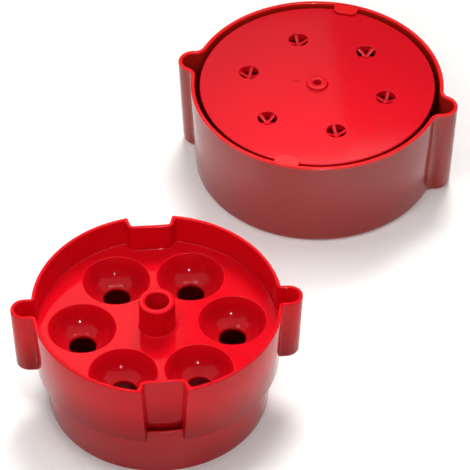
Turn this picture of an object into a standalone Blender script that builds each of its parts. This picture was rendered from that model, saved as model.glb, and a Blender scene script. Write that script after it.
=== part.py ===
"""Stacking egg cooker: water bowl, six-cup egg tray, lid and vent plate.

Units are metres, +Z is up.  The origin is the centre of the water bowl's underside,
and the tray's two ears point along -X and +X.  The lid stands next to the bowl,
turned over, with the vent plate held under its two rim tabs.
"""
import math

import bmesh
import bpy
from mathutils import Vector

MM = 0.001

# Levels of the cooking stack, above the surface it stands on
TRAY_RIM_Z = 98.5 * MM
TRAY_DECK_Z = TRAY_RIM_Z - 24.0 * MM
SKIRT_END_Z = TRAY_RIM_Z - 56.0 * MM
BOWL_RIM_Z = TRAY_RIM_Z - 49.5 * MM

# Running gap left between pieces that touch
TOUCH_GAP = 0.3 * MM

# Water bowl
BOWL_RIM_R = 88.4 * MM
BOWL_BASE_R = 84.3 * MM
BOWL_WALL = 2.8 * MM
BOWL_EDGE_ROUND = 4.0 * MM

# Egg tray: skirt, ears and clip channels
SKIRT_RIM_R = 95.0 * MM
SKIRT_END_R = 92.6 * MM
TRAY_WALL = 3.0 * MM
DECK_THICKNESS = 2.5 * MM
EAR_HALF_WIDTH = 10.6 * MM
EAR_CENTRE_R = 99.8 * MM
CHANNEL_RIM_HALF = 17.2 * MM
CHANNEL_END_HALF = 14.4 * MM
CHANNEL_FACE_Y = 84.0 * MM
CHANNEL_ROUND = 2.5 * MM
CHANNEL_PANEL_END_Z = TRAY_RIM_Z - 42.0 * MM
CHANNEL_WINDOW_RELIEF = 0.1 * MM

# Egg cups and steam post
CUP_COUNT = 6
CUP_PITCH_R = 57.0 * MM
CUP_MOUTH_R = 25.6 * MM
CUP_SHOULDER_R = 22.6 * MM
CUP_SHOULDER_DEPTH = 6.0 * MM
CUP_DEPTH = 19.0 * MM
CUP_HOLE_R = 10.3 * MM
CUP_WALL = 2.2 * MM
POST_R = 13.85 * MM
POST_BORE_R = 8.9 * MM
POST_TOP_Z = TRAY_RIM_Z + 1.2 * MM
POST_END_Z = 50.0 * MM

# Locating ring and ribs under the deck
RING_OUTER_R = 83.7 * MM
RING_WALL = 2.2 * MM
RING_END_Z = BOWL_RIM_Z - 6.0 * MM
RIB_COUNT = 8
RIB_THICKNESS = 2.0 * MM

# Lid, standing upside down
LID_HEIGHT = 84.0 * MM
LID_RIM_R = 102.2 * MM
LID_END_R = 98.4 * MM
LID_WALL = 3.2 * MM
LID_EDGE_ROUND = 5.0 * MM
LID_EAR_R = 12.5 * MM
LID_EAR_CENTRE = 1.3 * MM
LID_EAR_FILLET = 7.0 * MM
TAB_HALF_WIDTH = 10.0 * MM
TAB_TIP_R = 89.5 * MM
TAB_THICKNESS = 1.7 * MM
TAB_CORNER_R = 5.5 * MM
GUIDE_RIB_TIP_R = 95.3 * MM
GUIDE_RIB_OFFSET = 6.0 * MM
GUIDE_RIB_HALF_WIDTH = 1.0 * MM
GUIDE_RIB_TOP_Z = 79.5 * MM
LID_PLACE = (144.5 * MM, 254.0 * MM)
LID_TURN = math.radians(-19.6)

# Vent plate
PLATE_R = 95.0 * MM
PLATE_THICKNESS = 2.2 * MM
PLATE_TOP_BELOW_RIM = TAB_THICKNESS + TOUCH_GAP
BOSS_R = 8.5 * MM
BOSS_HEIGHT = 2.8 * MM
BOSS_HOLE_R = 3.2 * MM
VENT_R = 7.8 * MM
VENT_COLLAR_R = 9.6 * MM
VENT_COLLAR_DEPTH = 4.0 * MM
SPIDER_ARM_WIDTH = 2.8 * MM
SPIDER_ARM_THICKNESS = 1.4 * MM
SPIDER_RIM_DEPTH = 0.6 * MM
SPIDER_HUB_DEPTH = 4.6 * MM
SPIDER_HUB_R = 2.3 * MM

# Facets around the round shapes
BIG_ROUND = 72
CUP_ROUND = 28
SMALL_ROUND = 20
CUT_MARGIN = 5.0 * MM


def clear_scene():
    for old in list(bpy.data.objects):
        bpy.data.objects.remove(old, do_unlink=True)


def gloss_plastic(name, colour, roughness):
    material = bpy.data.materials.new(name)
    material.use_nodes = True
    shader = material.node_tree.nodes["Principled BSDF"]
    shader.inputs["Base Color"].default_value = (*colour, 1.0)
    shader.inputs["Roughness"].default_value = roughness
    shader.inputs["Metallic"].default_value = 0.0
    return material


def circle_loop(radius, z, count, centre=(0.0, 0.0)):
    loop = []
    for i in range(count):
        angle = 2.0 * math.pi * i / count
        x = centre[0] + radius * math.cos(angle)
        y = centre[1] + radius * math.sin(angle)
        loop.append(Vector((x, y, z)))
    return loop


def arc_points(centre, radius, start, end, steps):
    points = []
    for i in range(steps + 1):
        angle = start + (end - start) * i / steps
        points.append((centre[0] + radius * math.cos(angle), centre[1] + radius * math.sin(angle)))
    return points


def lofted(name, loops):
    """Skin equal loops in order and cap the first and the last, as one closed body."""
    bm = bmesh.new()
    rings = [[bm.verts.new(point) for point in loop] for loop in loops]
    for lower, upper in zip(rings, rings[1:]):
        count = len(lower)
        for i in range(count):
            j = (i + 1) % count
            bm.faces.new((lower[i], lower[j], upper[j], upper[i]))
    bm.faces.new(reversed(rings[0]))
    bm.faces.new(rings[-1])
    return finished(name, bm)


def ring_body(name, profile, count, centre=(0.0, 0.0)):
    """Turn a closed profile of (radius, z) points, clear of the axis, about the vertical."""
    bm = bmesh.new()
    rings = [[bm.verts.new(p) for p in circle_loop(r, z, count, centre)] for r, z in profile]
    rings.append(rings[0])
    for lower, upper in zip(rings, rings[1:]):
        for i in range(count):
            j = (i + 1) % count
            bm.faces.new((lower[i], lower[j], upper[j], upper[i]))
    return finished(name, bm)


def round_body(name, profile, count, centre=(0.0, 0.0)):
    """Turn an open profile of (radius, z) points and cap both ends flat."""
    return lofted(name, [circle_loop(r, z, count, centre) for r, z in profile])


def prism(name, outline, z_low, z_high):
    low = [Vector((x, y, z_low)) for x, y in outline]
    high = [Vector((x, y, z_high)) for x, y in outline]
    return lofted(name, [low, high])


def finished(name, bm):
    bmesh.ops.recalc_face_normals(bm, faces=bm.faces)
    mesh = bpy.data.meshes.new(name)
    bm.to_mesh(mesh)
    bm.free()
    body = bpy.data.objects.new(name, mesh)
    bpy.context.scene.collection.objects.link(body)
    return body


def combine(body, tool, operation):
    """Apply one exact Boolean to body and remove the tool."""
    modifier = body.modifiers.new(operation.title(), "BOOLEAN")
    modifier.operation = operation
    modifier.solver = "EXACT"
    modifier.object = tool
    bpy.context.view_layer.update()
    evaluated = body.evaluated_get(bpy.context.evaluated_depsgraph_get())
    result = bpy.data.meshes.new_from_object(evaluated)
    body.modifiers.clear()
    body.data = result
    bpy.data.objects.remove(tool, do_unlink=True)


def join_all(body, tools):
    for tool in tools:
        combine(body, tool, "UNION")


def cut_all(body, tools):
    for tool in tools:
        combine(body, tool, "DIFFERENCE")


def dress(body, name, material, sharp_angle=math.radians(35.0)):
    body.name = name
    body.data.name = name
    body.data.materials.clear()
    body.data.materials.append(material)
    body.data.shade_smooth()
    body.data.set_sharp_from_angle(angle=sharp_angle)
    return body


def cup_centre(index, pitch=CUP_PITCH_R):
    angle = 2.0 * math.pi * index / CUP_COUNT
    return (pitch * math.cos(angle), pitch * math.sin(angle))


def quarter_round(radius, steps):
    """Inset and rise of a rounded edge, from its flat end to the wall."""
    pairs = []
    for i in range(steps + 1):
        angle = math.pi / 2.0 * i / steps
        pairs.append((radius * (1.0 - math.sin(angle)), radius * (1.0 - math.cos(angle))))
    return pairs


# Water bowl ---------------------------------------------------------------

def bowl_outer_radius(z):
    return BOWL_BASE_R + (BOWL_RIM_R - BOWL_BASE_R) * z / BOWL_RIM_Z


def make_water_bowl(material):
    profile = []
    for inset, rise in quarter_round(BOWL_EDGE_ROUND, 3):
        profile.append((bowl_outer_radius(rise) - inset, rise))
    profile.append((BOWL_RIM_R, BOWL_RIM_Z))
    profile.append((BOWL_RIM_R - BOWL_WALL, BOWL_RIM_Z))
    inner_round = BOWL_EDGE_ROUND - 1.0 * MM
    for inset, rise in reversed(quarter_round(inner_round, 3)):
        z = BOWL_WALL + rise
        profile.append((bowl_outer_radius(z) - BOWL_WALL - inset, z))
    bowl = round_body("water_bowl", profile, BIG_ROUND)
    return dress(bowl, "water_bowl", material)


# Egg tray -----------------------------------------------------------------

def skirt_radius(z):
    share = (TRAY_RIM_Z - z) / (TRAY_RIM_Z - SKIRT_END_Z)
    return SKIRT_RIM_R + (SKIRT_END_R - SKIRT_RIM_R) * share


def skirt_core(name, inset, z_low, z_high):
    profile = [(skirt_radius(z_low) - inset, z_low), (skirt_radius(z_high) - inset, z_high)]
    return round_body(name, profile, BIG_ROUND)


def ear_block(name, side, inset, z_low, z_high):
    """Upright U-shaped prism that leans with the skirt, open side towards the tray."""
    loops = []
    for z in (z_low, z_high):
        centre_x = EAR_CENTRE_R + skirt_radius(z) - SKIRT_RIM_R
        radius = EAR_HALF_WIDTH - inset
        points = arc_points((centre_x, 0.0), radius, -math.pi / 2.0, math.pi / 2.0, 14)
        root_x = SKIRT_END_R - 6.0 * MM
        points = [(root_x, -radius)] + points + [(root_x, radius)]
        loops.append([Vector((side * x, y, z)) for x, y in points])
    return lofted(name, loops)


def channel_half_width(z):
    share = (TRAY_RIM_Z - z) / (TRAY_RIM_Z - SKIRT_END_Z)
    return CHANNEL_RIM_HALF + (CHANNEL_END_HALF - CHANNEL_RIM_HALF) * share


def channel_block(name, side, grow, corner_round, z_low, z_high):
    """Block that fills a clip channel, which narrows downwards; grow is for (sides, face)."""
    face = CHANNEL_FACE_Y - grow[1]
    far = SKIRT_RIM_R + 10.0 * MM
    loops = []
    for z in (z_low, z_high):
        half = channel_half_width(z) + grow[0]
        left_centre = (-half + corner_round, face + corner_round)
        right_centre = (half - corner_round, face + corner_round)
        left = arc_points(left_centre, corner_round, math.pi, math.pi * 1.5, 4)
        right = arc_points(right_centre, corner_round, -math.pi / 2.0, 0.0, 4)
        outline = [(-half, far)] + left + right + [(half, far)]
        loops.append([Vector((x, side * y, z)) for x, y in outline])
    return lofted(name, loops)


def tray_shape(name, inset, z_low, z_high, channel_grow, channel_round):
    """Skirt outline with ears and channels, moved inwards by inset, as a solid."""
    body = skirt_core(name, inset, z_low, z_high)
    join_all(body, [ear_block("ear", side, inset, z_low, z_high) for side in (-1, 1)])
    low = z_low - CUT_MARGIN
    high = z_high + CUT_MARGIN
    grow = (channel_grow, channel_grow)
    cut_all(body, [channel_block("channel", side, grow, channel_round, low, high) for side in (-1, 1)])
    return body


def cup_inner_profile():
    """Cup surface from its mouth down to the hole: steep shoulder, then part of a ball."""
    rise = CUP_DEPTH - CUP_SHOULDER_DEPTH
    ball_above = (CUP_SHOULDER_R ** 2 - CUP_HOLE_R ** 2 - rise ** 2) / (2.0 * rise)
    ball_r = math.hypot(CUP_SHOULDER_R, ball_above)
    start = math.asin(ball_above / ball_r)
    end = math.acos(CUP_HOLE_R / ball_r)
    points = [(CUP_MOUTH_R, 0.0)]
    steps = 5
    for i in range(steps + 1):
        angle = start + (end - start) * i / steps
        depth = CUP_SHOULDER_DEPTH - ball_above + ball_r * math.sin(angle)
        points.append((ball_r * math.cos(angle), -depth))
    return points


def cup_shell(index):
    profile = [(r + CUP_WALL, TRAY_DECK_Z + z) for r, z in cup_inner_profile()]
    profile.append((CUP_HOLE_R + CUP_WALL, TRAY_DECK_Z - CUP_DEPTH - CUP_WALL))
    profile[0] = (CUP_MOUTH_R + CUP_WALL, TRAY_DECK_Z - DECK_THICKNESS / 2.0)
    return round_body("cup_shell", list(reversed(profile)), CUP_ROUND, cup_centre(index))


def cup_cutter(index):
    profile = [(r, TRAY_DECK_Z + z) for r, z in cup_inner_profile()]
    profile.insert(0, (CUP_MOUTH_R, TRAY_DECK_Z + CUT_MARGIN))
    profile.append((CUP_HOLE_R, TRAY_DECK_Z - CUP_DEPTH - CUP_WALL - CUT_MARGIN))
    return round_body("cup_cutter", list(reversed(profile)), CUP_ROUND, cup_centre(index))


def locating_ring():
    top = TRAY_DECK_Z - DECK_THICKNESS / 2.0
    inner = RING_OUTER_R - RING_WALL
    profile = [(inner, RING_END_Z), (RING_OUTER_R, RING_END_Z), (RING_OUTER_R, top), (inner, top)]
    return ring_body("locating_ring", profile, BIG_ROUND)


def support_rib(index):
    """Rib from ring to skirt, whose lower edge sits just over the bowl's rim."""
    angle = 2.0 * math.pi * (index + 0.5) / RIB_COUNT
    radial = Vector((math.cos(angle), math.sin(angle), 0.0))
    across = Vector((-math.sin(angle), math.cos(angle), 0.0)) * RIB_THICKNESS / 2.0
    near = RING_OUTER_R - RING_WALL / 2.0
    far = SKIRT_END_R - TRAY_WALL / 2.0
    loops = []
    for z in (BOWL_RIM_Z + TOUCH_GAP, TRAY_DECK_Z - DECK_THICKNESS / 2.0):
        lift = Vector((0.0, 0.0, z))
        inner = (radial * near + across, radial * near - across)
        outer = (radial * far - across, radial * far + across)
        loops.append([point + lift for point in inner + outer])
    return lofted("support_rib", loops)


def make_egg_tray(material):
    deck_under = TRAY_DECK_Z - DECK_THICKNESS
    inner_round = CHANNEL_ROUND + TRAY_WALL
    tray = tray_shape("egg_tray", 0.0, SKIRT_END_Z, TRAY_RIM_Z, 0.0, CHANNEL_ROUND)
    above = tray_shape("above", TRAY_WALL, TRAY_DECK_Z, TRAY_RIM_Z + CUT_MARGIN, TRAY_WALL, inner_round)
    below = tray_shape("below", TRAY_WALL, SKIRT_END_Z - CUT_MARGIN, deck_under, TRAY_WALL, inner_round)
    cut_all(tray, [above, below])
    window_low = SKIRT_END_Z - CUT_MARGIN
    span = (window_low, CHANNEL_PANEL_END_Z)
    grow = (CHANNEL_WINDOW_RELIEF, TRAY_WALL + CUT_MARGIN)
    cut_all(tray, [channel_block("window", side, grow, CHANNEL_ROUND, *span) for side in (-1, 1)])
    bowl_clear_r = BOWL_RIM_R + TOUCH_GAP
    bowl_room = [(bowl_clear_r, window_low), (bowl_clear_r, BOWL_RIM_Z + TOUCH_GAP)]
    cut_all(tray, [round_body("bowl_room", bowl_room, BIG_ROUND)])
    join_all(tray, [cup_shell(i) for i in range(CUP_COUNT)])
    join_all(tray, [locating_ring()])
    join_all(tray, [support_rib(i) for i in range(RIB_COUNT)])
    post = round_body("post", [(POST_R, POST_END_Z), (POST_R, POST_TOP_Z)], CUP_ROUND)
    join_all(tray, [post])
    cut_all(tray, [cup_cutter(i) for i in range(CUP_COUNT)])
    bore = [(POST_BORE_R, POST_END_Z - CUT_MARGIN), (POST_BORE_R, POST_TOP_Z + CUT_MARGIN)]
    cut_all(tray, [round_body("bore", bore, CUP_ROUND)])
    return dress(tray, "egg_tray", material)


# Lid ----------------------------------------------------------------------

def lid_radius(z):
    return LID_END_R + (LID_RIM_R - LID_END_R) * z / LID_HEIGHT


def lid_outline(z, inset):
    """Round outline with two soft ears, moved inwards by inset."""
    body_r = lid_radius(z)
    ear_x = body_r + LID_EAR_CENTRE
    fillet_r = LID_EAR_FILLET + inset
    reach = body_r + LID_EAR_FILLET
    span = LID_EAR_R + LID_EAR_FILLET
    at_axis = math.acos((reach ** 2 + ear_x ** 2 - span ** 2) / (2.0 * reach * ear_x))
    fillet = (reach * math.cos(at_axis), reach * math.sin(at_axis))
    ear_turn = math.atan2(fillet[1], fillet[0] - ear_x)
    ear = arc_points((ear_x, 0.0), LID_EAR_R - inset, 0.0, ear_turn, 8)
    blend = arc_points(fillet, fillet_r, ear_turn - math.pi, at_axis - math.pi, 4)
    wall = arc_points((0.0, 0.0), body_r - inset, at_axis, math.pi / 2.0, 14)
    quarter = ear + blend[1:] + wall[1:]
    mirrored = [(-x, y) for x, y in reversed(quarter[:-1])]
    upper_half = quarter + mirrored
    lower_half = [(x, -y) for x, y in reversed(upper_half[1:-1])]
    return upper_half + lower_half


def lid_loop(z, inset):
    return [Vector((x, y, z)) for x, y in lid_outline(z, inset)]


def rim_tab(side):
    """Flat tab from the rim inwards, with rounded tip corners."""
    root = LID_RIM_R - LID_WALL / 2.0
    left_centre = (-TAB_HALF_WIDTH + TAB_CORNER_R, TAB_TIP_R + TAB_CORNER_R)
    right_centre = (TAB_HALF_WIDTH - TAB_CORNER_R, TAB_TIP_R + TAB_CORNER_R)
    left = arc_points(left_centre, TAB_CORNER_R, math.pi, math.pi * 1.5, 5)
    right = arc_points(right_centre, TAB_CORNER_R, -math.pi / 2.0, 0.0, 5)
    outline = [(-TAB_HALF_WIDTH, root)] + left + right + [(TAB_HALF_WIDTH, root)]
    return prism("rim_tab", [(x, side * y) for x, y in outline], LID_HEIGHT - TAB_THICKNESS, LID_HEIGHT)


def guide_rib(side, offset):
    """Upright rib behind a rim tab that steadies the vent plate's edge."""
    near = side * GUIDE_RIB_TIP_R
    far = side * (LID_RIM_R - LID_WALL / 2.0 - 0.5 * MM)
    left = offset - GUIDE_RIB_HALF_WIDTH
    right = offset + GUIDE_RIB_HALF_WIDTH
    low_z = 30.0 * MM
    low_far = side * (lid_radius(low_z) - LID_WALL / 2.0)
    loops = []
    for z, back in ((low_z, low_far), (GUIDE_RIB_TOP_Z, far)):
        corners = ((left, near), (right, near), (right, back), (left, back))
        loops.append([Vector((x, y, z)) for x, y in corners])
    return lofted("guide_rib", loops)


def make_lid(material, station):
    loops = [lid_loop(rise, inset) for inset, rise in quarter_round(LID_EDGE_ROUND, 3)]
    loops.append(lid_loop(LID_HEIGHT, 0.0))
    loops.append(lid_loop(LID_HEIGHT, LID_WALL))
    inner_round = LID_EDGE_ROUND - 2.0 * MM
    for inset, rise in reversed(quarter_round(inner_round, 2)):
        loops.append(lid_loop(LID_WALL + rise, LID_WALL + inset))
    lid = lofted("lid", loops)
    join_all(lid, [rim_tab(side) for side in (-1, 1)])
    offsets = (-GUIDE_RIB_OFFSET, GUIDE_RIB_OFFSET)
    join_all(lid, [guide_rib(side, offset) for side in (-1, 1) for offset in offsets])
    lid.parent = station
    return dress(lid, "lid", material)


# Vent plate ---------------------------------------------------------------

def spider_arm(centre, turn):
    """Arm that slopes down from the collar to the hub in the middle of a vent."""
    near = SPIDER_ARM_WIDTH / 2.0 + 0.1 * MM
    far = (VENT_R + VENT_COLLAR_R) / 2.0
    half = SPIDER_ARM_WIDTH / 2.0
    upper = [(near, -SPIDER_HUB_DEPTH), (far, -SPIDER_RIM_DEPTH)]
    lower = [(x, z - SPIDER_ARM_THICKNESS) for x, z in reversed(upper)]
    along = Vector((math.cos(turn), math.sin(turn), 0.0))
    across = Vector((-math.sin(turn), math.cos(turn), 0.0))
    origin = Vector((centre[0], centre[1], 0.0))
    loops = []
    for offset in (-half, half):
        side = origin + across * offset
        loops.append([side + along * x + Vector((0.0, 0.0, z)) for x, z in upper + lower])
    return lofted("spider_arm", loops)


def spider(index):
    """Hub and four arms that bridge one vent."""
    centre = cup_centre(index)
    hub_top = -SPIDER_HUB_DEPTH + 0.2 * MM
    hub_end = -SPIDER_HUB_DEPTH - SPIDER_ARM_THICKNESS - 0.2 * MM
    hub = round_body("spider", [(SPIDER_HUB_R, hub_end), (SPIDER_HUB_R, hub_top)], 12, centre)
    radial = 2.0 * math.pi * index / CUP_COUNT
    join_all(hub, [spider_arm(centre, radial + math.pi / 2.0 * i) for i in range(4)])
    return hub


def make_vent_plate(material, station):
    """Plate with its upper face at z = 0, its boss above and its collars below."""
    plate = round_body("vent_plate", [(PLATE_R, -PLATE_THICKNESS), (PLATE_R, 0.0)], BIG_ROUND)
    boss = round_body("boss", [(BOSS_R, -PLATE_THICKNESS / 2.0), (BOSS_R, BOSS_HEIGHT)], SMALL_ROUND)
    join_all(plate, [boss])
    collar_end = -PLATE_THICKNESS - VENT_COLLAR_DEPTH
    spans = [(VENT_COLLAR_R, collar_end), (VENT_COLLAR_R, -PLATE_THICKNESS / 2.0)]
    join_all(plate, [round_body("collar", spans, SMALL_ROUND, cup_centre(i)) for i in range(CUP_COUNT)])
    through = [collar_end - CUT_MARGIN, CUT_MARGIN]
    vent = [(VENT_R, z) for z in through]
    cut_all(plate, [round_body("vent", vent, SMALL_ROUND, cup_centre(i)) for i in range(CUP_COUNT)])
    cut_all(plate, [round_body("boss_hole", [(BOSS_HOLE_R, z) for z in through], SMALL_ROUND)])
    join_all(plate, [spider(i) for i in range(CUP_COUNT)])
    plate.parent = station
    plate.location = (0.0, 0.0, LID_HEIGHT - PLATE_TOP_BELOW_RIM)
    return dress(plate, "vent_plate", material)


def main():
    clear_scene()
    station = bpy.data.objects.new("lid_station", None)
    bpy.context.scene.collection.objects.link(station)
    station.location = (LID_PLACE[0], LID_PLACE[1], 0.0)
    station.rotation_euler = (0.0, 0.0, LID_TURN)
    make_water_bowl(gloss_plastic("bowl_red", (0.60, 0.02, 0.02), 0.22))
    make_egg_tray(gloss_plastic("tray_red", (0.72, 0.015, 0.02), 0.16))
    make_lid(gloss_plastic("lid_red", (0.66, 0.02, 0.02), 0.2), station)
    make_vent_plate(gloss_plastic("plate_red", (0.74, 0.015, 0.025), 0.12), station)
    bpy.context.view_layer.update()


main()
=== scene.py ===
import math

import bpy
from mathutils import Matrix, Vector
from mathutils.geometry import tessellate_polygon


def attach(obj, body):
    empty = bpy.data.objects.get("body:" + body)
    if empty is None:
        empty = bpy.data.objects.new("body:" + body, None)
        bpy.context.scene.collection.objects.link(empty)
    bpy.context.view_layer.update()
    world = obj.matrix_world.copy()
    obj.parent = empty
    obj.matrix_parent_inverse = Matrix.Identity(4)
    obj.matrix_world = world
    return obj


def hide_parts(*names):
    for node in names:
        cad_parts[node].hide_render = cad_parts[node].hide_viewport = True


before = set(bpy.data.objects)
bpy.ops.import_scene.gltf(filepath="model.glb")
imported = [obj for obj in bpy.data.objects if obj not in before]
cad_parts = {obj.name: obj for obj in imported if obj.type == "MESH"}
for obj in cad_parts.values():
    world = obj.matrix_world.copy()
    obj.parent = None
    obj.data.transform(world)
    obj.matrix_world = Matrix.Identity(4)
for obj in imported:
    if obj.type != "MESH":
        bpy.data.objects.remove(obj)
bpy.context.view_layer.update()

MM = 0.001

# Levels of the cooking stack
TRAY_RIM_Z = 98.5 * MM
DECK_Z = 74.5 * MM
DECK_THICKNESS = 2.5 * MM
SKIRT_END_Z = 42.5 * MM
BOWL_RIM_Z = 49.0 * MM

# Water bowl
BOWL_RIM_R = 88.4 * MM
BOWL_BASE_R = 84.3 * MM
BOWL_WALL = 2.8 * MM

# Egg tray
SKIRT_RIM_R = 95.0 * MM
SKIRT_END_R = 92.6 * MM
TRAY_WALL = 3.0 * MM
EAR_HALF_WIDTH = 10.6 * MM
EAR_CENTRE_R = 99.8 * MM
EAR_JOIN_R = 1.0 * MM
POST_R = 13.85 * MM
POST_FOOT_R = POST_R + 3.2 * MM
POST_BORE_R = 8.9 * MM
POST_TOP_Z = 99.7 * MM
POST_END_Z = 50.0 * MM
RING_OUTER_R = 83.7 * MM
RING_WALL = 2.2 * MM
RING_END_Z = 43.0 * MM
RIB_COUNT = 8

# Clip channels in the tray's wall. The wall's lower edge is lifted under a channel's panel and under the
# innermost points of its sides, which are placed at these shares of the way in.
CHANNEL_RIM_HALF = 17.2 * MM
CHANNEL_END_HALF = 14.4 * MM
CHANNEL_FACE_Y = 84.0 * MM
CHANNEL_DRAFT = 1.8 * MM
CHANNEL_EDGE_R = 0.7 * MM
CHANNEL_CORNER_R = 2.5 * MM
PANEL_LIFT = 14.0 * MM
SIDE_LIFT = 7.0 * MM
SIDE_SHARES = (0.25, 0.5, 0.52, 0.75, 0.97)
RAISED_SIDE_POINTS = 3

# Egg cups
CUP_COUNT = 6
CUP_PITCH_R = 57.0 * MM
CUP_MOUTH_R = 25.6 * MM
CUP_LIP_R = CUP_MOUTH_R + 2.0 * MM
CUP_SHOULDER_R = 22.6 * MM
CUP_SHOULDER_DEPTH = 6.0 * MM
CUP_DEPTH = 19.0 * MM
CUP_HOLE_R = 10.3 * MM
CUP_WALL = 2.2 * MM

# Lid
LID_HEIGHT = 84.0 * MM
LID_RIM_R = 102.2 * MM
LID_END_R = 98.4 * MM
LID_WALL = 3.2 * MM
LID_EDGE_R = 5.0 * MM
LID_EAR_R = 12.5 * MM
LID_EAR_CENTRE = 1.3 * MM
LID_EAR_FILLET = 7.0 * MM
TAB_HALF_WIDTH = 10.0 * MM
TAB_TIP_R = 89.5 * MM
TAB_THICKNESS = 1.7 * MM
TAB_CORNER_R = 5.5 * MM
GUIDE_NEAR_R = 95.3 * MM
GUIDE_FAR_R = 100.0 * MM
GUIDE_OFFSET = 6.0 * MM
GUIDE_HALF_WIDTH = 1.0 * MM
GUIDE_TOP_Z = 79.5 * MM
GUIDE_END_Z = 30.0 * MM
GUIDE_TAPER = 0.985
LID_PLACE = Vector((144.5 * MM, 254.0 * MM, 0.0))
LID_TURN = math.radians(-19.6)

# Vent plate
PLATE_R = 95.0 * MM
PLATE_THICKNESS = 2.2 * MM
PLATE_TOP_Z = 82.0 * MM
BOSS_R = 8.5 * MM
BOSS_FOOT_R = BOSS_R + 1.4 * MM
BOSS_HEIGHT = 2.8 * MM
BOSS_HOLE_R = 3.2 * MM
VENT_R = 7.8 * MM
VENT_LIP_R = VENT_R + 0.9 * MM
COLLAR_R = 9.6 * MM
COLLAR_DEPTH = 4.0 * MM
HUB_R = 2.3 * MM
HUB_DEPTH = 4.6 * MM
ARM_COUNT = 4
ARM_RIM_DEPTH = 0.6 * MM
ARM_WIDTH = 2.8 * MM
ARM_THICKNESS = 1.4 * MM
MARK_CENTRE = (-18.0 * MM, 2.2 * MM)
MARK_OUTER_R = 3.4 * MM
MARK_INNER_R = 2.3 * MM
MARK_HEIGHT = 0.5 * MM

# How finely round shapes are divided
ROUND = 192
CUP_ROUND = 72
HUB_ROUND = 24
SMALL_EDGE_STEPS = 4
EDGE_STEPS = 5
FILLET_STEPS = 6
CORNER_STEPS = 8
EAR_STEPS = 14
SKIRT_STEPS = 34
LID_EAR_STEPS = 16
LID_BODY_STEPS = 36
BALL_STEPS = 20
BALL_OUTER_STEPS = 12
MARK_STEPS = 16

# How far features of one moulding reach into each other, and the angle that shades as a sharp edge
OVERLAP = 0.5 * MM
SHARP_DEGREES = 35.0


# Geometry helpers -----------------------------------------------------------

def arc(centre, radius, start, end, steps):
    """Points along an arc, both ends included; start and end are in degrees."""
    points = []
    for i in range(steps + 1):
        angle = math.radians(start + (end - start) * i / steps)
        points.append((centre[0] + radius * math.cos(angle), centre[1] + radius * math.sin(angle)))
    return points


def lifted(outline, z):
    return [Vector((x, y, z)) for x, y in outline]


def circle(radius, count=ROUND, centre=(0.0, 0.0)):
    return arc(centre, radius, 0.0, 360.0 - 360.0 / count, count - 1)


def cup_centre(index):
    """Centre of a cup, and of the vent over it."""
    angle = 2.0 * math.pi * index / CUP_COUNT
    return (CUP_PITCH_R * math.cos(angle), CUP_PITCH_R * math.sin(angle))


def cup_circles(radius):
    return [circle(radius, CUP_ROUND, cup_centre(i)) for i in range(CUP_COUNT)]


class Skin:
    """Points and faces of one piece, gathered sheet by sheet."""

    def __init__(self):
        self.points = []
        self.faces = []

    def sheet(self, loops, wrap=False):
        """Quads between equal closed loops; wrap also joins the last loop to the first."""
        first = len(self.points)
        count = len(loops[0])
        for loop in loops:
            self.points.extend(loop)
        rows = len(loops)
        for row in range(rows if wrap else rows - 1):
            low = first + row * count
            high = first + ((row + 1) % rows) * count
            for i in range(count):
                j = (i + 1) % count
                self.faces.append((low + i, low + j, high + j, high + i))

    def flat(self, outline, holes, z, up=True):
        """Flat face with holes."""
        rings = [lifted(outline, z)] + [lifted(hole, z) for hole in holes]
        first = len(self.points)
        for ring in rings:
            self.points.extend(ring)
        for a, b, c in tessellate_polygon(rings):
            pa, pb, pc = (self.points[first + k] for k in (a, b, c))
            faces_up = (pb - pa).cross(pc - pa).z > 0.0
            corners = (a, b, c) if faces_up == up else (a, c, b)
            self.faces.append(tuple(first + k for k in corners))

    def cap(self, loop, up=True):
        """Flat face that closes a level loop."""
        self.flat([(point.x, point.y) for point in loop], [], loop[0].z, up)

    def turned(self, profile, count, centre=(0.0, 0.0), wrap=False):
        """Surface of revolution from (radius, z) points."""
        self.sheet([lifted(circle(r, count, centre), z) for r, z in profile], wrap)

    def made(self, name, material, body, place=None):
        """The mesh object, riding on its body."""
        mesh = bpy.data.meshes.new(name)
        mesh.from_pydata([tuple(p) for p in self.points], [], self.faces)
        if place is not None:
            mesh.transform(place)
        mesh.update()
        mesh.materials.append(material)
        mesh.shade_smooth()
        mesh.set_sharp_from_angle(angle=math.radians(SHARP_DEGREES))
        piece = bpy.data.objects.new(name, mesh)
        bpy.context.scene.collection.objects.link(piece)
        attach(piece, body)
        return piece


def wall_profile(wall, z_low, z_high, edge, steps=EDGE_STEPS):
    """Closed section of an upright wall as (inset, z), with all four edges rounded."""
    top = z_high - edge
    low = z_low + edge
    points = arc((edge, top), edge, 180.0, 90.0, steps)
    points += arc((wall - edge, top), edge, 90.0, 0.0, steps)
    points += arc((wall - edge, low), edge, 0.0, -90.0, steps)
    points += arc((edge, low), edge, -90.0, -180.0, steps)
    return points


def vessel_profile(wall, height, corner, edge, inner, inner_steps):
    """Section of an open vessel as (inset, z): base corner, rim, and corner inside."""
    top = height - edge
    floor = wall + inner
    points = arc((corner, corner), corner, 270.0, 180.0, CORNER_STEPS)
    points += arc((edge, top), edge, 180.0, 90.0, EDGE_STEPS)
    points += arc((wall - edge, top), edge, 90.0, 0.0, EDGE_STEPS)
    points += arc((floor, floor), inner, 180.0, 270.0, inner_steps)
    return points


def mirrored_outline(quadrant, middle):
    """Whole outline from one quadrant; middle says whether its last point lies on the Y axis."""
    upper = quadrant + [(-x, y) for x, y in reversed(quadrant[:-1] if middle else quadrant)]
    return upper + [(x, -y) for x, y in reversed(upper[1:-1])]


# Egg tray -------------------------------------------------------------------

def skirt_share(z):
    """How far down the skirt a level is, from 0 at the rim to 1 at the end."""
    return (TRAY_RIM_Z - z) / (TRAY_RIM_Z - SKIRT_END_Z)


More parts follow.
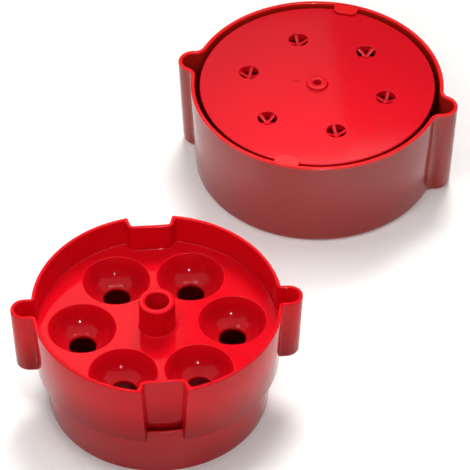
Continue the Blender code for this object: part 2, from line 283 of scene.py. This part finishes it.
def skirt_radius(z):
    return SKIRT_RIM_R + (SKIRT_END_R - SKIRT_RIM_R) * skirt_share(z)


def channel_half(z):
    return CHANNEL_RIM_HALF + (CHANNEL_END_HALF - CHANNEL_RIM_HALF) * skirt_share(z)


def tray_quadrant(z, inset):
    """Outline from the ear's tip to the middle of a channel, moved inwards by inset."""
    radius = skirt_radius(z)
    ear_x = EAR_CENTRE_R + radius - SKIRT_RIM_R
    points = arc((ear_x, 0.0), EAR_HALF_WIDTH - inset, 0.0, 90.0, EAR_STEPS)
    join_y = EAR_HALF_WIDTH + EAR_JOIN_R
    join_x = math.sqrt((radius + EAR_JOIN_R) ** 2 - join_y ** 2)
    join_end = math.degrees(math.atan2(join_y, join_x))
    points += arc((join_x, join_y), EAR_JOIN_R + inset, 270.0, 180.0 + join_end, EDGE_STEPS)
    wall_r = radius - inset
    half = channel_half(z)
    side_x = half + inset
    edge_x = side_x + CHANNEL_EDGE_R
    edge_y = math.sqrt((wall_r - CHANNEL_EDGE_R) ** 2 - edge_x ** 2)
    edge_start = math.degrees(math.atan2(edge_y, edge_x))
    points += arc((0.0, 0.0), wall_r, join_end, edge_start, SKIRT_STEPS)[1:-1]
    points += arc((edge_x, edge_y), CHANNEL_EDGE_R, edge_start, 180.0, EDGE_STEPS)
    corner_y = CHANNEL_FACE_Y + CHANNEL_CORNER_R
    for share in SIDE_SHARES:
        points.append((side_x - CHANNEL_DRAFT * share, edge_y + (corner_y - edge_y) * share))
    corner_x = half - CHANNEL_DRAFT - CHANNEL_CORNER_R
    points += arc((corner_x, corner_y), CHANNEL_CORNER_R + inset, 0.0, -90.0, FILLET_STEPS)
    points.append((corner_x / 2.0, CHANNEL_FACE_Y - inset))
    return points


def tray_outline(z, inset):
    return mirrored_outline(tray_quadrant(z, inset), False)


def channel_lifts():
    """How far the wall's lower edge stands above the skirt's, point by point."""
    panel_points = FILLET_STEPS + 2
    skirt_points = len(tray_quadrant(SKIRT_END_Z, 0.0)) - panel_points - RAISED_SIDE_POINTS
    lifts = [0.0] * skirt_points
    lifts += [SIDE_LIFT] * RAISED_SIDE_POINTS
    lifts += [PANEL_LIFT] * panel_points
    upper = lifts + list(reversed(lifts))
    return upper + list(reversed(upper[1:-1]))


def add_tray_wall(skin):
    edge = 1.15 * MM
    lifts = channel_lifts()
    loops = []
    for inset, z in wall_profile(TRAY_WALL, SKIRT_END_Z, TRAY_RIM_Z, edge):
        if z > DECK_Z:
            loops.append(lifted(tray_outline(z, inset), z))
            continue
        levels = {lift: lifted(tray_outline(z + lift, inset), z + lift) for lift in set(lifts)}
        loops.append([levels[lift][i] for i, lift in enumerate(lifts)])
    skin.sheet(loops, wrap=True)


def add_deck(skin):
    """Upper and lower face of the tray's floor, with a fillet where it meets the wall."""
    fillet = 0.9 * MM
    margin = 0.3 * MM
    loops = []
    for inset, z in arc((TRAY_WALL + fillet, DECK_Z + fillet), fillet, 180.0, 270.0, FILLET_STEPS):
        loops.append(lifted(tray_outline(z, inset), z))
    outline = tray_outline(DECK_Z, TRAY_WALL + fillet + margin)
    loops.append(lifted(outline, DECK_Z))
    skin.sheet(loops)
    holes = cup_circles(CUP_LIP_R)
    holes.append(circle(POST_FOOT_R, CUP_ROUND))
    skin.flat(outline, holes, DECK_Z)
    under_z = DECK_Z - DECK_THICKNESS
    under_holes = cup_circles(CUP_MOUTH_R + OVERLAP)
    under_holes.append(circle(POST_R, CUP_ROUND))
    skin.flat(tray_outline(under_z, TRAY_WALL - OVERLAP), under_holes, under_z, up=False)


def cup_ball():
    """Height of the ball's centre over the deck, its radius, and where its arc starts and ends."""
    rise = CUP_DEPTH - CUP_SHOULDER_DEPTH
    above = (CUP_SHOULDER_R ** 2 - CUP_HOLE_R ** 2 - rise ** 2) / (2.0 * rise)
    radius = math.hypot(CUP_SHOULDER_R, above)
    start = -math.degrees(math.asin(above / radius))
    end = -math.degrees(math.acos(CUP_HOLE_R / radius))
    return above - CUP_SHOULDER_DEPTH, radius, start, end


def cup_profile():
    """Section of a cup as (radius, z over the deck): lip, steep band, ball, hole, and back up outside."""
    lip = 1.0 * MM
    lip_flat = 1.1 * MM
    lip_turn = 0.8 * MM
    slant = math.degrees(math.atan2(CUP_SHOULDER_DEPTH, CUP_MOUTH_R - CUP_SHOULDER_R))
    profile = [(CUP_LIP_R, 0.0), (CUP_MOUTH_R + lip_flat, 0.0)]
    profile += arc((CUP_MOUTH_R + lip_turn, -lip), lip, 90.0, 90.0 + slant, FILLET_STEPS)
    centre_z, ball_r, start, end = cup_ball()
    profile += arc((0.0, centre_z), ball_r, start, end, BALL_STEPS)[:-1]
    edge = 0.7 * MM
    profile += arc((CUP_HOLE_R + edge, -CUP_DEPTH - edge), edge, 120.0, 180.0, SMALL_EDGE_STEPS)
    profile.append((CUP_HOLE_R, -CUP_DEPTH - CUP_WALL))
    profile.append((CUP_HOLE_R + CUP_WALL, -CUP_DEPTH - CUP_WALL))
    profile += arc((0.0, centre_z), ball_r + CUP_WALL, end, start, BALL_OUTER_STEPS)
    profile.append((CUP_MOUTH_R + CUP_WALL, -DECK_THICKNESS))
    return profile


def add_cups(skin):
    profile = [(r, DECK_Z + z) for r, z in cup_profile()]
    for i in range(CUP_COUNT):
        skin.turned(profile, CUP_ROUND, cup_centre(i))


def add_post(skin):
    fillet = 0.9 * MM
    flat_margin = 1.08 * MM
    edge = 1.2 * MM
    top = POST_TOP_Z - edge
    profile = [(POST_FOOT_R, DECK_Z), (POST_R + flat_margin, DECK_Z)]
    profile += arc((POST_R + fillet, DECK_Z + fillet), fillet, 270.0, 180.0, FILLET_STEPS)[1:]
    profile += arc((POST_R - edge, top), edge, 0.0, 90.0, FILLET_STEPS)
    profile += arc((POST_BORE_R + edge, top), edge, 90.0, 180.0, FILLET_STEPS)
    profile += [(POST_BORE_R, POST_END_Z), (POST_R, POST_END_Z), (POST_R, DECK_Z - DECK_THICKNESS)]
    skin.turned(profile, CUP_ROUND)


def add_ring(skin):
    """Ring under the deck that keeps the tray centred in the bowl."""
    edge = 0.6 * MM
    steps = 3
    top = DECK_Z - DECK_THICKNESS + OVERLAP
    section = wall_profile(RING_WALL, RING_END_Z, top, edge, steps)
    skin.turned([(RING_OUTER_R - inset, z) for inset, z in section], ROUND, wrap=True)


def add_ribs(skin):
    """Ribs between the ring and the skirt, just clear of the bowl's rim."""
    near = RING_OUTER_R - 1.0 * MM
    far = SKIRT_END_R - 1.5 * MM
    half = 1.0 * MM
    gap = 0.3 * MM
    spacing = 360.0 / RIB_COUNT
    outline = [(near, -half), (far, -half), (far, half), (near, half)]
    for i in range(RIB_COUNT):
        turn = Matrix.Rotation(math.radians(spacing * (i + 0.5)), 4, "Z")
        low = [turn @ point for point in lifted(outline, BOWL_RIM_Z + gap)]
        high = [turn @ point for point in lifted(outline, DECK_Z - DECK_THICKNESS + OVERLAP)]
        skin.sheet([low, high])
        skin.cap(low, up=False)


def make_egg_tray(material):
    skin = Skin()
    add_tray_wall(skin)
    add_deck(skin)
    add_cups(skin)
    add_post(skin)
    add_ring(skin)
    add_ribs(skin)
    piece = skin.made("tray_moulding", material, "tray")
    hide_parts("egg_tray")


# Water bowl -----------------------------------------------------------------

def bowl_loop(z, inset):
    radius = BOWL_BASE_R + (BOWL_RIM_R - BOWL_BASE_R) * z / BOWL_RIM_Z
    return lifted(circle(radius - inset), z)


def make_water_bowl(material):
    corner = 4.0 * MM
    edge = 1.1 * MM
    inner = 3.0 * MM
    section = vessel_profile(BOWL_WALL, BOWL_RIM_Z, corner, edge, inner, CORNER_STEPS)
    loops = [bowl_loop(z, inset) for inset, z in section]
    skin = Skin()
    skin.sheet(loops)
    skin.cap(loops[0], up=False)
    skin.cap(loops[-1])
    piece = skin.made("bowl_moulding", material, "bowl")
    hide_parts("water_bowl")


# Lid ------------------------------------------------------------------------

def lid_outline(z, inset):
    """Round outline with two soft ears, moved inwards by inset."""
    body_r = LID_END_R + (LID_RIM_R - LID_END_R) * z / LID_HEIGHT
    ear_x = body_r + LID_EAR_CENTRE
    reach = body_r + LID_EAR_FILLET
    span = LID_EAR_R + LID_EAR_FILLET
    at_axis = math.acos((reach ** 2 + ear_x ** 2 - span ** 2) / (2.0 * reach * ear_x))
    fillet = (reach * math.cos(at_axis), reach * math.sin(at_axis))
    ear_turn = math.degrees(math.atan2(fillet[1], fillet[0] - ear_x))
    axis_turn = math.degrees(at_axis)
    fillet_r = LID_EAR_FILLET + inset
    points = arc((ear_x, 0.0), LID_EAR_R - inset, 0.0, ear_turn, LID_EAR_STEPS)
    points += arc(fillet, fillet_r, ear_turn - 180.0, axis_turn - 180.0, CORNER_STEPS)[1:]
    points += arc((0.0, 0.0), body_r - inset, axis_turn, 90.0, LID_BODY_STEPS)[1:]
    return mirrored_outline(points, True)


def add_tab(skin, side):
    """Rounded tongue from the rim inwards, flush with the rim's top; side is 1 or -1 along Y.

    The faces of its rounded sides point inwards.
    """
    root = LID_RIM_R - LID_WALL / 2.0
    edge = 0.55 * MM
    end_z = LID_HEIGHT - TAB_THICKNESS
    section = arc((edge, LID_HEIGHT - edge), edge, 90.0, 180.0, SMALL_EDGE_STEPS)
    section += arc((edge, end_z + edge), edge, 180.0, 270.0, SMALL_EDGE_STEPS)
    loops = []
    for inset, z in section:
        corner = TAB_CORNER_R - inset
        corner_x = TAB_HALF_WIDTH - inset - corner
        corner_y = TAB_TIP_R + inset + corner
        outline = [(inset - TAB_HALF_WIDTH, root)]
        outline += arc((-corner_x, corner_y), corner, 180.0, 270.0, CORNER_STEPS)
        outline += arc((corner_x, corner_y), corner, 270.0, 360.0, CORNER_STEPS)
        outline.append((TAB_HALF_WIDTH - inset, root))
        loops.append(lifted([(x * side, y * side) for x, y in outline], z))
    skin.sheet(loops)
    skin.cap(loops[0])
    skin.cap(loops[-1], up=False)


def add_guide_rib(skin, middle, side):
    """Rib inside the lid's wall under a tab, with its outer side sunk in the wall and its lower end open."""
    left = middle - GUIDE_HALF_WIDTH
    right = middle + GUIDE_HALF_WIDTH
    near = GUIDE_NEAR_R * side
    far = GUIDE_FAR_R * side
    far_end = far * GUIDE_TAPER
    top = [(left, near), (right, near), (right, far), (left, far)]
    end = [(left, near), (right, near), (right, far_end), (left, far_end)]
    if side < 0:
        top.reverse()
        end.reverse()
    skin.sheet([lifted(end, GUIDE_END_Z), lifted(top, GUIDE_TOP_Z)])
    skin.flat(top, [], GUIDE_TOP_Z)


def make_lid(material, place):
    edge = 1.2 * MM
    inner = 3.0 * MM
    section = vessel_profile(LID_WALL, LID_HEIGHT, LID_EDGE_R, edge, inner, FILLET_STEPS)
    loops = [lifted(lid_outline(z, inset), z) for inset, z in section]
    skin = Skin()
    skin.sheet(loops)
    skin.cap(loops[0], up=False)
    skin.cap(loops[-1])
    for side in (1, -1):
        add_tab(skin, side)
        add_guide_rib(skin, -GUIDE_OFFSET, side)
        add_guide_rib(skin, GUIDE_OFFSET, side)
    piece = skin.made("lid_moulding", material, "cover", place)
    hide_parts("lid")


# Vent plate, modelled with its upper face at z = 0 --------------------------

def add_plate_disc(skin):
    """Upper and lower face, and the rounded edge between them, whose faces point inwards."""
    edge = 0.8 * MM
    border = 0.6 * MM
    edge_x = PLATE_R - edge
    profile = [(edge_x - border, 0.0)]
    profile += arc((edge_x, -edge), edge, 90.0, 0.0, EDGE_STEPS)
    profile += arc((edge_x, -PLATE_THICKNESS + edge), edge, 0.0, -90.0, EDGE_STEPS)
    skin.turned(profile, ROUND)
    holes = cup_circles(VENT_LIP_R)
    holes.append(circle(BOSS_FOOT_R, CUP_ROUND))
    skin.flat(circle(profile[0][0]), holes, 0.0)
    under_holes = cup_circles(COLLAR_R)
    under_holes.append(circle(BOSS_HOLE_R, CUP_ROUND))
    skin.flat(circle(profile[-1][0]), under_holes, -PLATE_THICKNESS, up=False)


def add_vent(skin, index):
    edge = 0.6 * MM
    end = -PLATE_THICKNESS - COLLAR_DEPTH
    profile = [(VENT_LIP_R, 0.0)]
    profile += arc((VENT_R + edge, -edge), edge, 90.0, 180.0, EDGE_STEPS)
    profile += [(VENT_R, end), (COLLAR_R, end), (COLLAR_R, -PLATE_THICKNESS)]
    skin.turned(profile, CUP_ROUND, cup_centre(index))


def add_boss(skin):
    fillet = 0.8 * MM
    edge = 0.9 * MM
    hole_edge = 0.6 * MM
    hole_turn = (BOSS_HOLE_R + hole_edge, BOSS_HEIGHT - hole_edge)
    profile = [(BOSS_FOOT_R, 0.0)]
    profile += arc((BOSS_R + fillet, fillet), fillet, 270.0, 180.0, SMALL_EDGE_STEPS)
    profile += arc((BOSS_R - edge, BOSS_HEIGHT - edge), edge, 0.0, 90.0, EDGE_STEPS)
    profile += arc(hole_turn, hole_edge, 90.0, 180.0, SMALL_EDGE_STEPS)
    profile.append((BOSS_HOLE_R, -PLATE_THICKNESS))
    skin.turned(profile, CUP_ROUND)


def add_gate_mark(skin):
    """Small raised crescent beside the boss, left by the mould."""
    sunk = 0.1 * MM
    outline = arc(MARK_CENTRE, MARK_OUTER_R, 215.0, 385.0, MARK_STEPS)
    outline += arc(MARK_CENTRE, MARK_INNER_R, 385.0, 215.0, MARK_STEPS)
    skin.sheet([lifted(outline, -sunk), lifted(outline, MARK_HEIGHT)])
    skin.flat(outline, [], MARK_HEIGHT)


def add_hub(skin, index):
    """Hub in the middle of one vent, closed almost to a point at its axis."""
    axis_r = 0.01 * MM
    soft = 0.5 * MM
    top = -HUB_DEPTH + 0.2 * MM
    end = top - ARM_THICKNESS - 0.4 * MM
    profile = [(axis_r, end), (HUB_R, end)]
    profile += arc((HUB_R - soft, top - soft), soft, 0.0, 90.0, SMALL_EDGE_STEPS)
    profile.append((axis_r, top))
    skin.turned(profile, HUB_ROUND, cup_centre(index))


def add_arms(skin, index):
    """Four arms from the hub up to one vent's wall, with softened upper edges."""
    half = ARM_WIDTH / 2.0
    soft_half = half * 0.55
    soft_z = -0.4 * MM
    section = [(-half, -ARM_THICKNESS), (half, -ARM_THICKNESS), (half, soft_z)]
    section += [(soft_half, 0.0), (-soft_half, 0.0), (-half, soft_z)]
    near = HUB_R * 0.4
    far = VENT_R + OVERLAP
    origin = Vector((*cup_centre(index), 0.0))
    vent_turn = 2.0 * math.pi * index / CUP_COUNT
    for i in range(ARM_COUNT):
        turn = Matrix.Rotation(vent_turn + 2.0 * math.pi * i / ARM_COUNT, 4, "Z")
        inner = [origin + turn @ Vector((near, y, z - HUB_DEPTH)) for y, z in section]
        outer = [origin + turn @ Vector((far, y, z - ARM_RIM_DEPTH)) for y, z in section]
        skin.sheet([inner, outer])


def make_vent_plate(material, place):
    skin = Skin()
    add_plate_disc(skin)
    add_boss(skin)
    add_gate_mark(skin)
    for i in range(CUP_COUNT):
        add_vent(skin, i)
        add_hub(skin, i)
        add_arms(skin, i)
    lift = Matrix.Translation((0.0, 0.0, PLATE_TOP_Z))
    piece = skin.made("plate_moulding", material, "plate", place @ lift)
    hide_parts("vent_plate")


# Materials ------------------------------------------------------------------

def add_noise(tree, scale, detail):
    """Noise texture fixed to the object."""
    place = tree.nodes.new("ShaderNodeTexCoord")
    noise = tree.nodes.new("ShaderNodeTexNoise")
    noise.inputs["Scale"].default_value = scale
    noise.inputs["Detail"].default_value = detail
    tree.links.new(place.outputs["Object"], noise.inputs["Vector"])
    return noise


def moulded_plastic(name, colour, deep, roughness, ripple, sheen):
    """Glossy dyed plastic with slight flow marks, fine scuffs and a faint surface ripple."""
    material = bpy.data.materials.new(name)
    material.use_nodes = True
    tree = material.node_tree
    shader = tree.nodes["Principled BSDF"]
    shader.inputs["IOR"].default_value = 1.49
    shader.inputs["Specular IOR Level"].default_value = sheen
    shader.inputs["Subsurface Weight"].default_value = 0.3
    shader.inputs["Subsurface Radius"].default_value = (1.0, 0.12, 0.08)
    shader.inputs["Subsurface Scale"].default_value = 4.0 * MM

    flow = add_noise(tree, scale=9.0, detail=2.0)
    tint = tree.nodes.new("ShaderNodeValToRGB")
    tint.color_ramp.elements[0].position = 0.3
    tint.color_ramp.elements[0].color = (*deep, 1.0)
    tint.color_ramp.elements[1].position = 0.7
    tint.color_ramp.elements[1].color = (*colour, 1.0)
    tree.links.new(flow.outputs["Fac"], tint.inputs["Fac"])
    tree.links.new(tint.outputs["Color"], shader.inputs["Base Color"])

    scuff = add_noise(tree, scale=160.0, detail=6.0)
    scuff.inputs["Roughness"].default_value = 0.7
    spread = tree.nodes.new("ShaderNodeMapRange")
    spread.inputs["From Min"].default_value = 0.35
    spread.inputs["From Max"].default_value = 0.75
    spread.inputs["To Min"].default_value = roughness
    spread.inputs["To Max"].default_value = roughness + 0.07
    tree.links.new(scuff.outputs["Fac"], spread.inputs["Value"])
    tree.links.new(spread.outputs["Result"], shader.inputs["Roughness"])

    wave = add_noise(tree, scale=26.0, detail=1.0)
    bump = tree.nodes.new("ShaderNodeBump")
    bump.inputs["Strength"].default_value = ripple
    bump.inputs["Distance"].default_value = 1.0 * MM
    tree.links.new(wave.outputs["Fac"], bump.inputs["Height"])
    tree.links.new(bump.outputs["Normal"], shader.inputs["Normal"])
    return material


def paint_light_and_shade_by_height(material, colour, start, end):
    """Blend towards another colour from one height to another, to paint shade and highlights that depend on
    height.
    """
    nodes = material.node_tree.nodes
    links = material.node_tree.links
    shader = nodes["Principled BSDF"]
    body_colour = shader.inputs["Base Color"].links[0].from_socket
    place = nodes.new("ShaderNodeTexCoord")
    split = nodes.new("ShaderNodeSeparateXYZ")
    links.new(place.outputs["Object"], split.inputs["Vector"])
    share = nodes.new("ShaderNodeMapRange")
    share.inputs["From Min"].default_value = start
    share.inputs["From Max"].default_value = end
    links.new(split.outputs["Z"], share.inputs["Value"])
    blend = nodes.new("ShaderNodeMix")
    blend.data_type = "RGBA"
    links.new(share.outputs["Result"], blend.inputs["Factor"])
    links.new(body_colour, blend.inputs["A"])
    blend.inputs["B"].default_value = (*colour, 1.0)
    links.new(blend.outputs["Result"], shader.inputs["Base Color"])


def bowl_plastic():
    """Mid red with painted shade that darkens it towards the base."""
    colour = (0.49, 0.004, 0.008)
    deep = (0.44, 0.003, 0.007)
    material = moulded_plastic("bowl_red_gloss", colour, deep, roughness=0.12, ripple=0.04, sheen=0.3)
    # painted shade: the base colour darkens from 34 mm down to the base
    paint_light_and_shade_by_height(material, (0.40, 0.003, 0.006), 34.0 * MM, 0.0)
    return material


def tray_plastic():
    """Bright red with painted shade that darkens the cups and the skirt towards the bottom."""
    colour = (0.69, 0.003, 0.010)
    deep = (0.63, 0.002, 0.009)
    material = moulded_plastic("tray_red_gloss", colour, deep, roughness=0.06, ripple=0.04, sheen=0.2)
    # painted shade: the base colour darkens from just over the deck down to the skirt's end
    paint_light_and_shade_by_height(material, (0.30, 0.002, 0.005), 77.0 * MM, SKIRT_END_Z)
    return material


def lid_plastic():
    """Red darkened as painted shade, with a painted highlight that lightens the rim and the tabs."""
    # painted shade: the lid's whole base colour is kept darker than the plate's, standing in for dimmer light
    colour = (0.35, 0.010, 0.005)
    deep = (0.31, 0.009, 0.004)
    material = moulded_plastic("lid_red_gloss", colour, deep, roughness=0.12, ripple=0.04, sheen=0.55)
    # painted highlight: the rim and the tabs are painted a lighter red near the top
    paint_light_and_shade_by_height(material, (0.72, 0.006, 0.008), 81.3 * MM, 82.8 * MM)
    return material


def plate_plastic():
    colour = (0.55, 0.003, 0.010)
    deep = (0.51, 0.002, 0.009)
    return moulded_plastic("plate_red_gloss", colour, deep, roughness=0.05, ripple=0.03, sheen=0.45)


def plain_floor(name):
    """White that gives off a little light of its own, so it stays white under soft light."""
    material = bpy.data.materials.new(name)
    material.use_nodes = True
    shader = material.node_tree.nodes["Principled BSDF"]
    shader.inputs["Base Color"].default_value = (0.84, 0.83, 0.81, 1.0)
    shader.inputs["Emission Color"].default_value = (1.0, 1.0, 1.0, 1.0)
    shader.inputs["Emission Strength"].default_value = 0.2
    shader.inputs["Roughness"].default_value = 0.6
    return material


# Stage ----------------------------------------------------------------------

def make_floor():
    reach = 30.0
    mesh = bpy.data.meshes.new("floor")
    corners = [(-reach, -reach, 0.0), (reach, -reach, 0.0), (reach, reach, 0.0), (-reach, reach, 0.0)]
    mesh.from_pydata(corners, [], [(0, 1, 2, 3)])
    mesh.materials.append(plain_floor("floor_white"))
    floor = bpy.data.objects.new("floor", mesh)
    bpy.context.scene.collection.objects.link(floor)


def soft_light(name, place, aim, size, watts, shine=True, fill=True):
    """Rectangular lamp; shine lets it show in gloss, fill lets it light matt surfaces."""
    light = bpy.data.lights.new(name, "AREA")
    light.shape = "RECTANGLE"
    light.size = size[0]
    light.size_y = size[1]
    light.energy = watts
    lamp = bpy.data.objects.new(name, light)
    lamp.visible_glossy = shine
    lamp.visible_diffuse = fill
    lamp.location = place
    lamp.rotation_euler = (Vector(aim) - Vector(place)).to_track_quat("-Z", "Y").to_euler()
    bpy.context.scene.collection.objects.link(lamp)


def card(name, place, size, watts):
    """Dim sheet of light that faces straight down and shows as haze in the gloss."""
    soft_light(name, place, (place[0], place[1], 0.0), size, watts)


def overhead_light(strength, spread, tilt, azimuth):
    """Broad light from far away that doesn't show in gloss; angles are in degrees."""
    light = bpy.data.lights.new("overhead", "SUN")
    light.energy = strength
    light.angle = math.radians(spread)
    lamp = bpy.data.objects.new("overhead", light)
    lamp.rotation_euler = (math.radians(tilt), 0.0, math.radians(azimuth))
    lamp.visible_glossy = False
    bpy.context.scene.collection.objects.link(lamp)


def add_lights():
    """Places, aims and sizes are in metres. Strengths are in watts, the overhead light's per square metre."""
    window = (0.1, -1.25, 0.85)
    window_aim = (0.0, 0.1, 0.05)
    overhead_light(strength=2.6, spread=24.0, tilt=36.0, azimuth=168.0)
    soft_light("window_front", window, window_aim, (0.12, 0.24), 2.3, shine=False)
    soft_light("window_glint", window, window_aim, (0.06, 0.1), 5.0, fill=False)
    soft_light("window_left", (-0.55, -1.1, 0.85), (0.0, 0.0, 0.05), (0.14, 0.2), 0.5, shine=False)
    soft_light("softbox_top", (0.0, -0.14, 1.0), (0.0, -0.03, 0.0), (0.9, 0.11), 2.0)
    soft_light("ceiling_glow", (0.0, -0.33, 1.1), (0.0, -0.3299, 0.0), (4.4, 1.3), 13.0, fill=False)
    soft_light("lamp_over_plate", (0.14, 0.19, 0.23), (0.14, 0.19, 0.0), (0.12, 0.06), 0.2, shine=False)
    soft_light("lamp_over_deck", (-0.08, -0.08, 0.45), (-0.06, -0.06, 0.0), (0.1, 0.1), 0.6, shine=False)
    card("card_over_tray", (-0.17, 0.66, 0.78), (0.44, 0.3), 0.5)
    card("card_over_plate", (0.1, 0.98, 0.78), (0.3, 0.34), 0.1)
    card("card_plate_front", (0.19, 0.89, 0.78), (0.26, 0.1), 0.06)
    card("card_plate_edge", (0.21, 0.86, 0.77), (0.18, 0.08), 0.06)


def make_world():
    world = bpy.data.worlds.new("studio")
    world.use_nodes = True
    backdrop = world.node_tree.nodes["Background"]
    backdrop.inputs["Color"].default_value = (1.0, 1.0, 1.0, 1.0)
    backdrop.inputs["Strength"].default_value = 0.1
    bpy.context.scene.world = world


def make_camera():
    """Long lens from between the photograph's two viewpoints; focal length is given in picture widths."""
    azimuth = math.radians(4.3)
    pitch = math.radians(44.0)
    sensor_width = 36.0
    focal_length = 3655.0 / 470.0
    camera = bpy.data.cameras.new("camera")
    camera.sensor_width = sensor_width
    camera.lens = focal_length * sensor_width
    camera.clip_end = 100.0
    holder = bpy.data.objects.new("camera", camera)
    holder.location = (-0.08703, -1.94097, 2.0436)
    holder.rotation_euler = (math.pi / 2.0 - pitch, 0.0, -azimuth)
    bpy.context.scene.collection.objects.link(holder)
    bpy.context.scene.camera = holder


def main():
    bpy.context.scene.view_settings.view_transform = "Standard"
    lid_place = Matrix.Translation(LID_PLACE) @ Matrix.Rotation(LID_TURN, 4, "Z")
    make_water_bowl(bowl_plastic())
    make_egg_tray(tray_plastic())
    make_lid(lid_plastic(), lid_place)
    make_vent_plate(plate_plastic(), lid_place)
    make_floor()
    make_world()
    add_lights()
    make_camera()


main()
